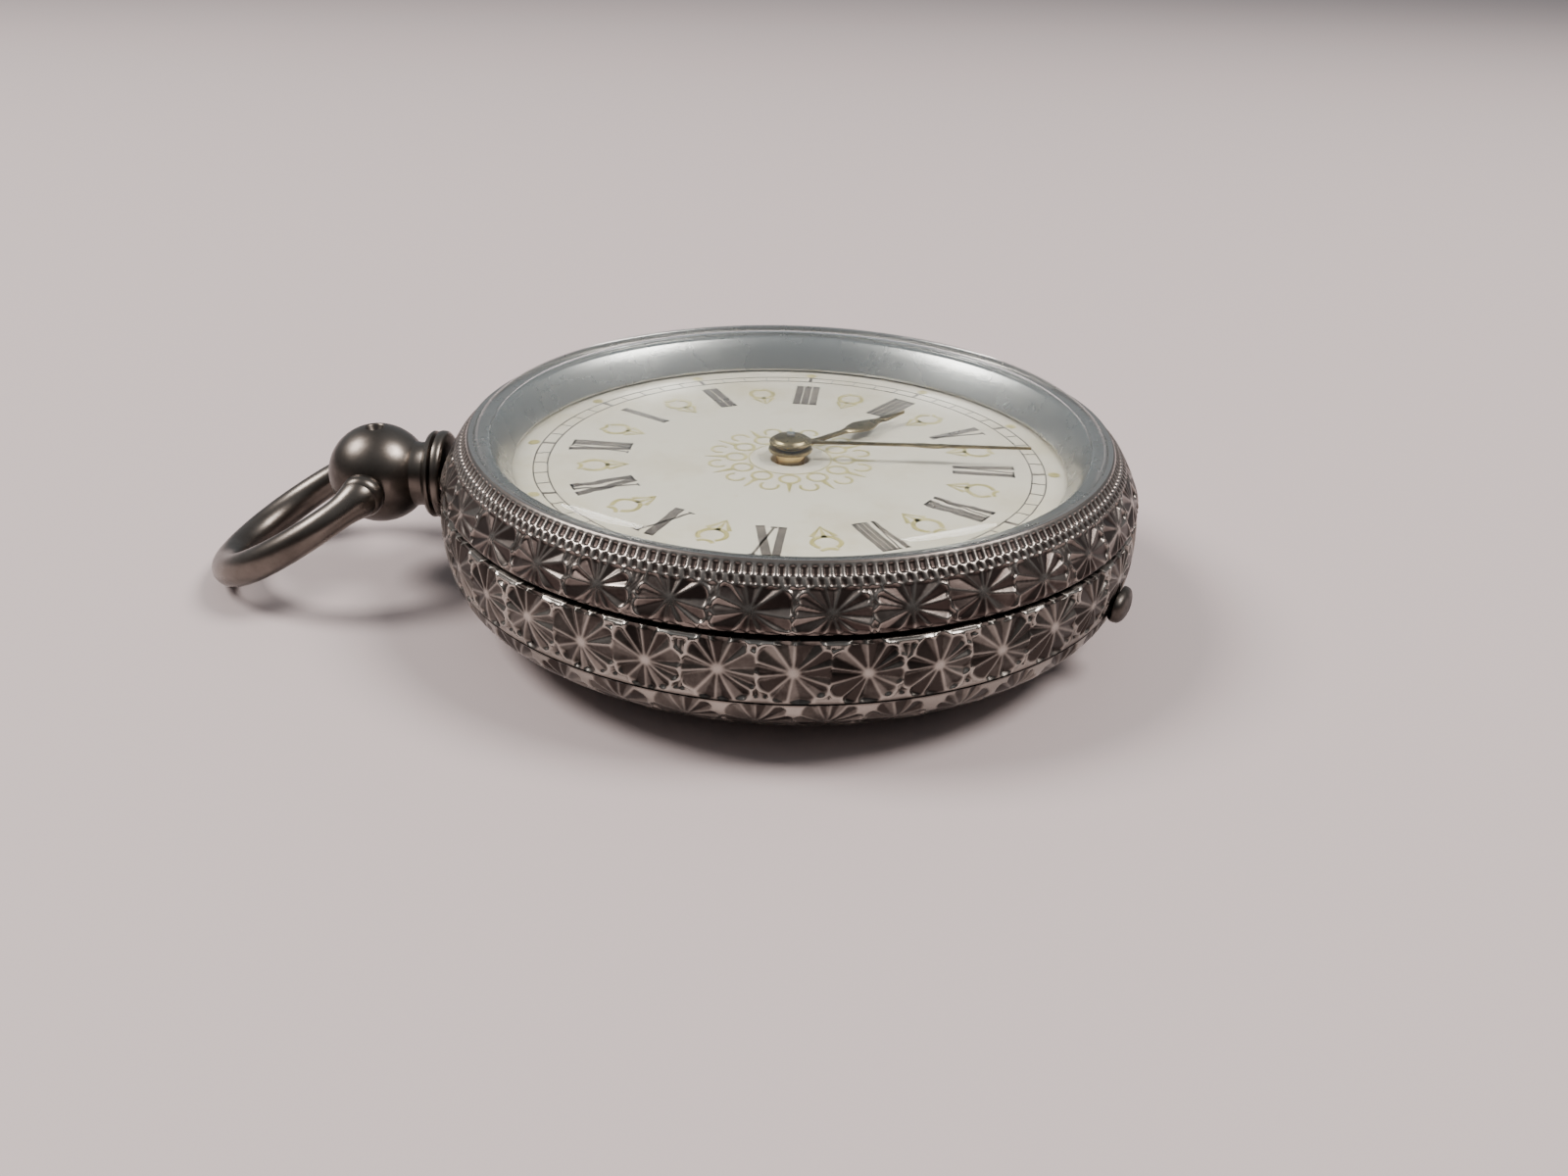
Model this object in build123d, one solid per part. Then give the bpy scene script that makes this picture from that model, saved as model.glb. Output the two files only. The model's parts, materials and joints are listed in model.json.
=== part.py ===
from build123d import *
import os
from math import atan2, cos, degrees, hypot, pi, radians, sin, sqrt

os.makedirs("parts", exist_ok=True)

# ---------------------------------------------------------------- driving dimensions (mm)
# The watch lies on its back. +Z is the way the dial faces, the pendant points along -X.
# Heights are taken from the edge of the back cover's dome; the finished pieces are raised
# by the dome's depth, so that the flat the watch lies on is at height 0.
case_radius = 17.5
dome_depth = 0.45
back_thickness = 0.4
back_top = 2.85
middle_low = 2.95
middle_high = 5.93
bezel_low = 6.06
bezel_top = 8.72
middle_bore = 14.75
glass_radius = 15.58
glass_top = 10.0
glass_thickness = 0.5

pendant_x = -21.1
pendant_z = 5.2
ball_radius = 2.53
bow_radius = 5.2
bow_wire = 0.78
bow_half_gap = 3.0
bow_droop = 30.8

hinge_azimuth = 120.0
hinge_radius = 17.45
bezel_hinge_z = 6.0
back_hinge_z = 2.9
knuckle_radius = 0.55
knuckle_clearance = 0.62
pin_radius = 0.25
lip_azimuth = -28.0

plate_low = 4.6
plate_high = 5.6
bridge_low = 1.9
bridge_high = 2.75
dial_low = 6.1
dial_high = 6.6
dial_radius = 14.6

pivot_radius = 0.15
arbor_radius = 0.3
running = 0.03

centre_at = (0.0, 0.0)
barrel_at = (-6.2, -2.25)
third_at = (2.0, 4.8)
fourth_at = (6.13, 3.3)
escape_at = (8.73, 0.2)
balance_at = (7.9, -2.06)
stud_azimuth = 100.0
motion_module = 0.12

barrel_teeth = 72
centre_leaves = 12
centre_teeth = 64
third_leaves = 8
third_teeth = 60
fourth_leaves = 8
fourth_teeth = 60
escape_leaves = 6
escape_teeth = 15
cannon_teeth = 10
minute_wheel_teeth = 30
minute_pinion_teeth = 8
hour_wheel_teeth = 32
ratchet_teeth = 24

balance_radius = 4.8
cylinder_radius = 0.28
hour_hand_azimuth = 44.0
minute_hand_azimuth = 0.0


# ---------------------------------------------------------------- helpers
def disc(radius, low, high, at=(0, 0)):
    solid = Cylinder(radius, high - low, align=(Align.CENTER, Align.CENTER, Align.MIN))
    return Pos(at[0], at[1], low) * solid


def ring(outer, inner, low, high, at=(0, 0)):
    return disc(outer, low, high, at) - disc(inner, low - 0.1, high + 0.1, at)


def polar(radius, azimuth, origin=(0, 0)):
    return (origin[0] + radius * cos(radians(azimuth)), origin[1] + radius * sin(radians(azimuth)))


def heading(start, end):
    return degrees(atan2(end[1] - start[1], end[0] - start[0]))


def spacing(start, end):
    return hypot(end[0] - start[0], end[1] - start[1])


def toward(start, end, distance):
    return polar(distance, heading(start, end), start)


def bar(start, end, width, low, high):
    # a round-ended flat bar from one point to another
    length = spacing(start, end)
    middle = ((start[0] + end[0]) / 2, (start[1] + end[1]) / 2)
    block = Box(length, width, high - low, align=(Align.CENTER, Align.CENTER, Align.MIN))
    block = Pos(middle[0], middle[1], low) * Rot(0, 0, heading(start, end)) * block
    return block + disc(width / 2, low, high, start) + disc(width / 2, low, high, end)


def turned(outline):
    return revolve(Plane.XZ * make_face(outline), Axis.Z)


def flat(points, low, high):
    return Pos(0, 0, low) * extrude(make_face(Polyline(*points, close=True)), high - low)


def toothed(count, pitch_radius, low, high, at, tooth_azimuth, addendum=0.85):
    # a gear with straight-sided teeth and generous backlash
    module = 2 * pitch_radius / count
    step = 360 / count
    corners = (
        (-0.25, pitch_radius - 1.1 * module),
        (-0.10, pitch_radius + addendum * module),
        (0.10, pitch_radius + addendum * module),
        (0.25, pitch_radius - 1.1 * module),
    )
    points = []
    for tooth in range(count):
        for offset, radius in corners:
            points.append(polar(radius, tooth_azimuth + (tooth + offset) * step, at))
    return flat(points, low, high)


def saw(count, outer, root, low, high, at, tooth_azimuth):
    # a one-way toothed wheel
    step = 360 / count
    points = []
    for tooth in range(count):
        points.append(polar(outer, tooth_azimuth + tooth * step, at))
        points.append(polar(outer, tooth_azimuth + (tooth + 0.08) * step, at))
        points.append(polar(root, tooth_azimuth + (tooth + 0.16) * step, at))
        points.append(polar(root, tooth_azimuth + (tooth + 0.5) * step, at))
    return flat(points, low, high)


def crossed_out(wheel, at, rim, hub, arms, arm_width, low, high):
    # windows cut through a wheel, leaving straight arms between hub and rim
    windows = ring(rim, hub, low - 0.1, high + 0.1, at)
    for arm in range(arms):
        end = polar(rim + 0.5, 20 + arm * 360 / arms, at)
        windows -= bar(at, end, arm_width, low - 0.2, high + 0.2)
    return wheel - windows


def spiral(at, inner, outer, turns, thickness, low, high):
    steps = int(turns * 24)
    inside = []
    outside = []
    for k in range(steps + 1):
        share = k / steps
        radius = inner + (outer - inner) * share
        inside.append(polar(radius, 360 * turns * share, at))
        outside.append(polar(radius + thickness, 360 * turns * share, at))
    return flat(inside + outside[::-1], low, high)


def screw(at, head_low, head_high, shank_high, head_radius, shank_radius, slot_azimuth):
    body = disc(head_radius, head_low, head_high, at) + disc(shank_radius, head_high, shank_high, at)
    slot = Box(3 * head_radius, 0.28 * head_radius, 0.3, align=(Align.CENTER, Align.CENTER, Align.CENTER))
    return body - Pos(at[0], at[1], head_low) * Rot(0, 0, slot_azimuth) * slot


def hinge_cylinder(radius, height, near, far):
    # a cylinder on a case hinge's axis, between two distances from its middle
    solid = Cylinder(radius, far - near, align=(Align.CENTER, Align.CENTER, Align.MIN))
    solid = Pos(0, near, 0) * Rot(-90, 0, 0) * solid
    return Rot(0, 0, hinge_azimuth) * Pos(hinge_radius, 0, height) * solid


def hinge_pair(radius, height, near, far):
    return hinge_cylinder(radius, height, near, far) + hinge_cylinder(radius, height, -far, -near)


def save(name, shape):
    raised = Pos(0, 0, dome_depth) * shape
    raised.label = name
    export_step(raised, "parts/" + name + ".step")


# ---------------------------------------------------------------- case hinges
bezel_knuckle_near = 1.65
bezel_knuckle_far = 3.1
middle_knuckle_bezel = 1.6
middle_knuckle_back = 1.0
cuvette_knuckle_near = 1.05
cuvette_knuckle_far = 2.05
back_knuckle_near = 2.1
back_knuckle_far = 3.3

bezel_pin = hinge_cylinder(pin_radius, bezel_hinge_z, -bezel_knuckle_far, bezel_knuckle_far)
back_pin = hinge_cylinder(pin_radius, back_hinge_z, -back_knuckle_far, back_knuckle_far)
middle_top_knuckle = hinge_cylinder(
    knuckle_radius, bezel_hinge_z, -middle_knuckle_bezel, middle_knuckle_bezel
)
middle_low_knuckle = hinge_cylinder(
    knuckle_radius, back_hinge_z, -middle_knuckle_back, middle_knuckle_back
)
bezel_knuckles = hinge_pair(knuckle_radius, bezel_hinge_z, bezel_knuckle_near, bezel_knuckle_far)
back_knuckles = hinge_pair(knuckle_radius, back_hinge_z, back_knuckle_near, back_knuckle_far)
cuvette_knuckles = hinge_pair(knuckle_radius, back_hinge_z, cuvette_knuckle_near, cuvette_knuckle_far)

# ---------------------------------------------------------------- case middle, the band
bezel_spigot = 15.4
back_spigot = 16.3
ledge_bore = 14.2
middle_outline = Spline(
    (case_radius - 0.2, middle_low), (case_radius, 4.5), (case_radius - 0.14, middle_high)
) + Polyline(
    (case_radius - 0.14, middle_high),
    (bezel_spigot, middle_high),
    (bezel_spigot, middle_high + 0.65),
    (middle_bore + 0.1, middle_high + 0.65),
    (middle_bore + 0.1, plate_high + 0.1),
    (middle_bore, plate_high + 0.1),
    (middle_bore, plate_low),
    (ledge_bore, plate_low),
    (ledge_bore, plate_low - 1.0),
    (middle_bore + 0.2, plate_low - 1.0),
    (middle_bore + 0.2, middle_low),
    (back_spigot - 0.55, middle_low),
    (back_spigot - 0.55, middle_low - 0.35),
    (back_spigot, middle_low - 0.35),
    (back_spigot, middle_low),
    (case_radius - 0.2, middle_low),
)
case_middle = turned(middle_outline)
case_middle -= middle_top_knuckle
case_middle -= middle_low_knuckle
case_middle -= hinge_pair(
    knuckle_clearance, bezel_hinge_z, bezel_knuckle_near - 0.05, bezel_knuckle_far + 0.05
)
case_middle -= hinge_pair(
    knuckle_clearance, back_hinge_z, cuvette_knuckle_near - 0.05, back_knuckle_far + 0.05
)

# slots in the edge of the band and of the back for the two arms of the cuvette
arm_middle = (cuvette_knuckle_near + cuvette_knuckle_far) / 2
arm_width = cuvette_knuckle_far - cuvette_knuckle_near
arm_slots = Part()
cuvette_arms = Part()
for side in (-1, 1):
    slot = Box(2.2, arm_width + 0.1, 1.1, align=(Align.MAX, Align.CENTER, Align.MAX))
    slot = Pos(hinge_radius + 0.2, side * arm_middle, back_hinge_z + 0.1) * slot
    arm_slots += Rot(0, 0, hinge_azimuth) * slot
    arm = Box(2.1, arm_width, 0.35, align=(Align.MAX, Align.CENTER, Align.MAX))
    arm = Pos(hinge_radius, side * arm_middle, back_hinge_z - 0.1) * arm
    cuvette_arms += Rot(0, 0, hinge_azimuth) * arm
case_middle -= arm_slots
middle_joint = (middle_top_knuckle - bezel_pin) + (middle_low_knuckle - back_pin)

# ---------------------------------------------------------------- pendant, ball and bow
neck_radius = 1.65
collar_radius = 2.25


def along_pendant(radius, near, far):
    solid = Cylinder(radius, far - near, align=(Align.CENTER, Align.CENTER, Align.MIN))
    return Pos(-near, 0, pendant_z) * Rot(0, -90, 0) * solid


ball_at = Pos(pendant_x, 0, pendant_z)
tenon = Pos(0, 0, (middle_low + middle_high) / 2 - pendant_z) * along_pendant(1.1, 15.2, case_radius + 0.7)
case_middle -= tenon
pendant_tube = along_pendant(collar_radius, case_radius - 0.3, case_radius + 0.9)
pendant_tube = chamfer(pendant_tube.edges().group_by(Axis.X)[0], 0.25)
pendant_tube += along_pendant(neck_radius, case_radius + 0.4, -pendant_x - 1.2)
pendant_tube -= disc(case_radius + 0.06, 0, bezel_top + 1)
pendant_tube += tenon
ball = ball_at * Rot(0, 90, 0) * Sphere(ball_radius)
pendant_ball = ball
pendant_ball -= ball_at * Pos(0, 0, ball_radius) * Cylinder(0.33, 0.6)
pendant_ball -= ball_at * Rot(90, 0, 0) * Cylinder(0.45 + running, 2 * ball_radius)
pendant_tube -= ball

bow_centre = sqrt(bow_radius**2 - bow_half_gap**2)
bow_end_angle = degrees(atan2(bow_half_gap, bow_centre))
bow_path = CenterArc((-bow_centre, 0), bow_radius, bow_end_angle, 360 - 2 * bow_end_angle)
bow_section = Plane(origin=bow_path @ 0, z_dir=bow_path % 0) * Circle(bow_wire)
bow_tool = sweep(bow_section, path=bow_path)
bow_pins = Part()
for side in (-1, 1):
    end = Pos(0, side * bow_half_gap, 0) * Rot(90, 0, 0)
    bow_tool += end * Cylinder(0.95, 0.9)
    bow_pins += Pos(0, side * 2.3, 0) * Rot(90, 0, 0) * Cylinder(0.45, 1.5)
bow_tool -= Sphere(ball_radius + 0.08)
bow_tool -= bow_pins
bow_place = ball_at * Rot(0, -bow_droop, 0)
bow = bow_place * bow_tool
bow_pins = bow_place * bow_pins

# ---------------------------------------------------------------- bezel and glass
bezel_outline = Spline(
    (case_radius - 0.12, bezel_low),
    (17.25, 6.7),
    (16.95, 7.3),
    (16.5, 8.05),
    (15.98, bezel_top - 0.12),
) + Polyline(
    (15.98, bezel_top - 0.12),
    (glass_radius + 0.27, bezel_top),
    (glass_radius, bezel_top),
    (glass_radius, bezel_top - 0.3),
    (glass_radius - 0.7, bezel_top - 0.3),
    (13.95, dial_high + 0.25),
    (13.95, dial_high + 0.12),
    (bezel_spigot + 0.07, dial_high + 0.12),
    (bezel_spigot + 0.07, bezel_low),
    (case_radius - 0.12, bezel_low),
)
bezel = turned(bezel_outline)
bezel -= bezel_knuckles
bezel -= hinge_cylinder(
    knuckle_clearance, bezel_hinge_z, -middle_knuckle_bezel - 0.05, middle_knuckle_bezel + 0.05
)
bezel_joint = bezel_knuckles - hinge_cylinder(pin_radius + running, bezel_hinge_z, -4, 4)

glass_foot = bezel_top - 0.3


def dome(edge_radius, edge_height, top):
    # the arc of a spherical cap from its edge to the axis
    sag = top - edge_height
    sphere = (edge_radius**2 + sag**2) / (2 * sag)
    halfway = top - sphere + sqrt(sphere**2 - edge_radius**2 / 4)
    return ThreePointArc((edge_radius, edge_height), (edge_radius / 2, halfway), (0, top))


glass_outline = (
    Line((0, glass_top), (0, glass_top - glass_thickness))
    + dome(glass_radius - 0.75, 8.95, glass_top - glass_thickness)
    + Line((glass_radius - 0.75, 8.95), (glass_radius - 0.7, glass_foot))
    + Line((glass_radius - 0.7, glass_foot), (glass_radius, glass_foot))
    + Line((glass_radius, glass_foot), (glass_radius, 9.25))
    + ThreePointArc((glass_radius, 9.25), (glass_radius - 0.07, 9.4), (glass_radius - 0.25, 9.48))
    + dome(glass_radius - 0.25, 9.48, glass_top)
)
crystal = turned(glass_outline)

# ---------------------------------------------------------------- back cover and cuvette
back_seat = back_spigot + 0.07
back_low = -dome_depth
back_outline = (
    Line((0, back_low), (7, back_low))
    + Spline(
        (7, back_low),
        (11.5, -0.2),
        (14.5, 0.32),
        (15.6, 0.78),
        (16.3, 1.27),
        (17.05, 2.1),
        (case_radius - 0.22, back_top),
        tangents=[(1, 0), (0.15, 1)],
    )
    + Polyline((case_radius - 0.22, back_top), (back_seat, back_top), (back_seat, 2.1))
    + Polyline(
        (back_seat, 2.1),
        (16.2, 1.75),
        (15.5, 1.22),
        (14.4, 0.78),
        (13, 0.42),
        (11, 0.16),
        (7, back_low + back_thickness),
        (0, back_low + back_thickness),
        (0, back_low),
    )
)
back_cover = turned(back_outline)
back_cover -= back_knuckles
back_cover -= hinge_cylinder(
    knuckle_clearance, back_hinge_z, -back_knuckle_near + 0.05, back_knuckle_near - 0.05
)
back_cover -= arm_slots
back_joint = back_knuckles - hinge_cylinder(pin_radius + running, back_hinge_z, -4, 4)

lip = ring(18.15, 17.0, 2.35, 4.05) & (
    Rot(0, 0, lip_azimuth) * Pos(17.6, 0, 3.2) * Box(2, 2.6, 2)
)
lip -= disc(case_radius + 0.08, back_top + 0.04, 5)
back_lip = lip - back_cover

cuvette_rim = back_spigot - 0.65
cuvette_outline = Polyline(
    (0, 0.6),
    (12.8, 0.6),
    (14.6, 1.25),
    (15.3, 1.9),
    (cuvette_rim, 2.45),
    (cuvette_rim, 2.9),
    (cuvette_rim - 0.4, 2.9),
    (cuvette_rim - 0.4, 2.5),
    (15.0, 2.0),
    (14.4, 1.45),
    (12.75, 0.82),
    (0, 0.82),
    (0, 0.6),
)
cuvette = turned(cuvette_outline)
for key_hole in (centre_at, barrel_at):
    cuvette -= disc(1.9, 0, 2, key_hole)
cuvette_joint = cuvette_knuckles + cuvette_arms
cuvette_joint -= hinge_cylinder(pin_radius + running, back_hinge_z, -4, 4)
cuvette_joint -= cuvette

# ---------------------------------------------------------------- main plate
third_foot = (3.2, 12.2)
fourth_foot = (10.3, 7.2)
centre_foot = (-1.1, -12.5)
barrel_feet = ((-11.8, 4.3), (-8.9, -8.9))
escape_foot = (12.7, 1.8)
cock_foot = (6.3, -11.0)
stud_at = polar(motion_module * (cannon_teeth + minute_wheel_teeth) / 2, stud_azimuth)
dial_feet_at = [polar(11.8, azimuth) for azimuth in (20, 140, 260)]
case_screws_at = [polar(13.6, azimuth) for azimuth in (200, 110, -40)]

main_plate = disc(middle_bore, plate_low, plate_high)
main_plate += ring(dial_radius - 0.1, dial_radius - 1.2, plate_high, dial_low)
main_plate -= disc(1.0, plate_high - 0.5, plate_high + 1, centre_at)
main_plate -= disc(2.2, plate_high - 0.5, plate_high + 1, stud_at)
main_plate -= disc(0.55 + running, plate_low - 1, plate_high, centre_at)
main_plate -= disc(0.4 + running, plate_low - 1, plate_high, barrel_at)
main_plate -= disc(0.2, plate_low - 1, plate_high, stud_at)
for arbor in (third_at, fourth_at, escape_at, balance_at):
    main_plate -= disc(pivot_radius + running, plate_low - 1, plate_high + 1, arbor)
for foot in dial_feet_at:
    main_plate -= disc(0.35, plate_low - 1, plate_high + 1, foot)
for hole in case_screws_at:
    main_plate -= disc(0.4, plate_low - 1, plate_high - 0.3, hole)
bridge_feet = (third_foot, fourth_foot, centre_foot, escape_foot, cock_foot) + barrel_feet
for foot in bridge_feet:
    main_plate -= disc(0.35, plate_low - 1, plate_high - 0.3, foot)
minute_wheel_stud = disc(0.2, plate_low + 0.1, dial_low - 0.05, stud_at)


# ---------------------------------------------------------------- bridges, cock and their screws
def bridge(feet, pivot, low, high, width, boss, hole):
    # a bridge stands on one or more feet on the main plate and carries one pivot hole
    shape = disc(boss, low, high, pivot)
    for foot in feet:
        shape += bar(foot, pivot, width, low, high)
        shape += disc(1.25, low, plate_low, foot)
    for foot in feet:
        shape -= disc(0.8, low - 1, low + 0.2, foot)
        shape -= disc(0.35, low - 1, plate_low + 1, foot)
    return shape - disc(hole, low - 1, high + 1, pivot)


jewel_hole = pivot_radius + running
third_bridge = bridge([third_foot], third_at, bridge_low, bridge_high, 1.9, 1.3, 0.35)
fourth_bridge = bridge([fourth_foot], fourth_at, bridge_low, bridge_high, 1.8, 0.75, 0.35)
centre_bridge = bridge([centre_foot], centre_at, bridge_low, bridge_high, 2.3, 1.5, 0.55 + running)
barrel_bridge = bridge(barrel_feet, barrel_at, bridge_low, bridge_high, 2.5, 2.7, 0.6 + running)
escape_bridge = bridge([escape_foot], escape_at, 2.35, 2.8, 1.5, 0.85, 0.35)
balance_cock = bridge([cock_foot], balance_at, 1.2, 1.7, 2.3, 1.4, 0.35)
hairspring_stud_at = polar(1.8, heading(balance_at, cock_foot) + 70, balance_at)
balance_cock += bar(balance_at, hairspring_stud_at, 0.9, 1.2, 1.7)
balance_cock -= disc(0.35, 0, 3, balance_at)
balance_cock -= disc(0.15, 0, 3, hairspring_stud_at)

jewels = Part()
for pivot, low, carrier in (
    (third_at, bridge_low, "third"),
    (fourth_at, bridge_low, "fourth"),
    (escape_at, 2.35, "escape"),
    (balance_at, 1.2, "balance"),
):
    pocket = disc(0.55, low - 1, low + 0.25, pivot)
    jewels += ring(0.55, jewel_hole, low, low + 0.25, pivot)
    if carrier == "third":
        third_bridge -= pocket
    if carrier == "fourth":
        fourth_bridge -= pocket
    if carrier == "escape":
        escape_bridge -= pocket
    if carrier == "balance":
        balance_cock -= pocket

bridge_screws = Part()
for number, foot in enumerate((third_foot, fourth_foot, centre_foot) + barrel_feet):
    bridge_screws += screw(
        foot, bridge_low - 0.15, bridge_low + 0.2, plate_high - 0.4, 0.75, 0.35, 50 * number
    )
bridge_screws += screw(escape_foot, 2.2, 2.55, plate_high - 0.4, 0.75, 0.35, 15)
bridge_screws += screw(cock_foot, 1.05, 1.4, plate_high - 0.4, 0.75, 0.35, 100)
case_screws = Part()
for number, hole in enumerate(case_screws_at):
    case_screws += screw(hole, plate_low - 1.35, plate_low - 1.0, plate_high - 0.4, 1.0, 0.4, 35 * number)

# ---------------------------------------------------------------- going train
barrel_pitch = spacing(barrel_at, centre_at) * barrel_teeth / (barrel_teeth + centre_leaves)
centre_leaf_pitch = spacing(barrel_at, centre_at) - barrel_pitch
centre_pitch = spacing(centre_at, third_at) * centre_teeth / (centre_teeth + third_leaves)
third_leaf_pitch = spacing(centre_at, third_at) - centre_pitch
third_pitch = spacing(third_at, fourth_at) * third_teeth / (third_teeth + fourth_leaves)
fourth_leaf_pitch = spacing(third_at, fourth_at) - third_pitch
fourth_pitch = spacing(fourth_at, escape_at) * fourth_teeth / (fourth_teeth + escape_leaves)
escape_leaf_pitch = spacing(fourth_at, escape_at) - fourth_pitch


def driver(count, pitch, low, high, at, mate_at):
    # a wheel with a tooth pointing at the pinion it drives
    return toothed(count, pitch, low, high, at, heading(at, mate_at))


def pinion(count, pitch, low, high, at, mate_at):
    # a pinion with a gap facing the wheel that drives it
    return toothed(count, pitch, low, high, at, heading(at, mate_at) + 180 / count, 0.6)


def arbor(at, pinion_shape, bridge_face, bridge_inner):
    shape = pinion_shape + disc(arbor_radius, bridge_inner + 0.08, plate_low - 0.06, at)
    return shape + disc(pivot_radius, bridge_face + 0.02, plate_high - 0.4, at)


barrel_low = 3.35
barrel_high = 4.5
barrel = driver(barrel_teeth, barrel_pitch, 4.1, 4.45, barrel_at, centre_at)
barrel += disc(5.3, barrel_low, barrel_high, barrel_at)
barrel -= disc(5.0, barrel_low - 0.1, barrel_high - 0.2, barrel_at)
barrel -= disc(0.6 + running, barrel_low - 1, barrel_high + 1, barrel_at)
barrel_cover = ring(5.0, 0.6 + running, barrel_low, barrel_low + 0.15, barrel_at)
mainspring = spiral(barrel_at, 1.0, 4.8, 9, 0.14, barrel_low + 0.2, barrel_high - 0.25)

barrel_arbor = disc(0.6, 1.5, barrel_high + 0.05, barrel_at)
barrel_arbor += disc(0.4, barrel_high + 0.05, plate_high - 0.1, barrel_at)
barrel_arbor += Pos(barrel_at[0], barrel_at[1], 1.25) * Box(0.8, 0.8, 0.5)
click_heading = heading(barrel_at, barrel_feet[0])
ratchet_wheel = saw(ratchet_teeth, 1.95, 1.7, 1.55, 1.85, barrel_at, click_heading + 35)
ratchet_wheel -= disc(0.6, 1, 2, barrel_at)

click_at = polar(3.7, click_heading, barrel_at)
click_tip = polar(2.05, click_heading + 33, barrel_at)
click = bar(click_at, click_tip, 0.42, 1.55, 1.82) + disc(0.6, 1.55, 1.82, click_at)
click -= disc(1.86, 1, 2, barrel_at)
click -= disc(0.3 + running, 1, 2, click_at)
click_screw = disc(0.5, 1.2, 1.52, click_at) + disc(0.3, 1.52, bridge_high - 0.1, click_at)
click_screw -= Pos(click_at[0], click_at[1], 1.2) * Rot(0, 0, 25) * Box(1.2, 0.16, 0.3)
barrel_bridge -= disc(0.3, 0, bridge_high - 0.1, click_at)
spring_root = polar(1.7, click_heading - 62, click_at)
spring_tip = polar(0.72, click_heading - 118, click_at)
click_spring = bar(spring_root, spring_tip, 0.16, 1.6, 1.8)
click_spring += disc(0.4, 1.6, bridge_low, spring_root)

centre_wheel = driver(centre_teeth, centre_pitch, 3.0, 3.25, centre_at, third_at)
centre_wheel = crossed_out(centre_wheel, centre_at, 3.9, 1.2, 4, 0.5, 3.0, 3.25)
centre_wheel -= disc(0.55, 2, 4, centre_at)
centre_pinion = pinion(centre_leaves, centre_leaf_pitch, 4.05, 4.5, centre_at, barrel_at)
centre_pinion += disc(0.55, bridge_low + 0.05, plate_high - 0.55, centre_at)
centre_pinion -= disc(arbor_radius + running, 1, 6, centre_at)

third_wheel = driver(third_teeth, third_pitch, 3.9, 4.1, third_at, fourth_at)
third_wheel = crossed_out(third_wheel, third_at, 3.3, 0.9, 4, 0.4, 3.9, 4.1)
third_wheel -= disc(arbor_radius, 3, 5, third_at)
third_pinion = pinion(third_leaves, third_leaf_pitch, 2.9, 3.35, third_at, centre_at)
third_pinion = arbor(third_at, third_pinion, bridge_low, bridge_high)

fourth_wheel = driver(fourth_teeth, fourth_pitch, 3.45, 3.65, fourth_at, escape_at)
fourth_wheel = crossed_out(fourth_wheel, fourth_at, 3.15, 0.8, 4, 0.4, 3.45, 3.65)
fourth_wheel -= disc(arbor_radius, 3, 5, fourth_at)
fourth_pinion = pinion(fourth_leaves, fourth_leaf_pitch, 3.8, 4.2, fourth_at, third_at)
fourth_pinion = arbor(fourth_at, fourth_pinion, bridge_low, bridge_high)

escape_wheel = saw(escape_teeth, 2.1, 1.6, 2.95, 3.1, escape_at, heading(escape_at, balance_at) + 12)
escape_wheel = crossed_out(escape_wheel, escape_at, 1.4, 0.55, 3, 0.28, 2.95, 3.1)
escape_wheel -= disc(0.2, 2, 4, escape_at)
escape_pinion = pinion(escape_leaves, escape_leaf_pitch, 3.38, 3.75, escape_at, fourth_at)
escape_pinion += disc(0.2, 2.86, plate_low - 0.06, escape_at)
escape_pinion += disc(pivot_radius, 2.37, plate_high - 0.4, escape_at)

# ---------------------------------------------------------------- balance and regulator
balance_wheel = ring(balance_radius, balance_radius - 0.5, 2.0, 2.25, balance_at)
for arm in range(3):
    balance_wheel += bar(balance_at, polar(balance_radius - 0.4, 75 + 120 * arm, balance_at), 0.35, 2.02, 2.2)
balance_wheel += disc(0.8, 2.0, 2.25, balance_at)
balance_wheel -= disc(cylinder_radius, 1, 3, balance_at)
balance_staff = disc(cylinder_radius, 1.9, plate_low - 0.06, balance_at)
balance_staff += disc(0.1, 1.22, plate_high - 0.4, balance_at)
balance_staff += disc(0.42, 1.74, 1.92, balance_at)
hairspring = spiral(balance_at, 0.5, 1.72, 7, 0.05, 1.76, 1.88)
hairspring_stud = disc(0.15, 1.2, 1.9, hairspring_stud_at)
hairspring_stud -= hairspring

pointer_heading = heading(balance_at, cock_foot)
regulator = disc(0.95, 1.0, 1.17, balance_at)
regulator += bar(balance_at, polar(4.2, pointer_heading, balance_at), 0.3, 1.0, 1.17)
regulator += bar(balance_at, polar(1.95, pointer_heading + 180, balance_at), 0.5, 1.0, 1.17)
for offset in (-3, 3):
    regulator += disc(0.06, 1.1, 1.88, polar(1.93, pointer_heading + 180 + offset, balance_at))
regulator -= disc(0.6, 0, 1.18, balance_at)

# ---------------------------------------------------------------- motion work and hands
set_arbor = disc(arbor_radius, 1.5, 7.75, centre_at)
set_arbor += disc(0.5, 1.5, bridge_low - 0.05, centre_at)
set_arbor += Pos(0, 0, 1.25) * Box(0.62, 0.62, 0.5)
cannon_pinion = toothed(
    cannon_teeth, motion_module * cannon_teeth / 2, 5.17, 5.5, centre_at,
    stud_azimuth + 180 / cannon_teeth, 0.6,
)
cannon_pinion += disc(0.45, 5.17, 7.6, centre_at)
cannon_pinion -= disc(arbor_radius, 5, 8, centre_at)
minute_wheel = toothed(
    minute_wheel_teeth, motion_module * minute_wheel_teeth / 2, 5.2, 5.4, stud_at, stud_azimuth + 180
)
minute_wheel += toothed(
    minute_pinion_teeth, motion_module * minute_pinion_teeth / 2, 5.4, 5.9, stud_at,
    stud_azimuth + 180 + 180 / minute_pinion_teeth, 0.6,
)
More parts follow.
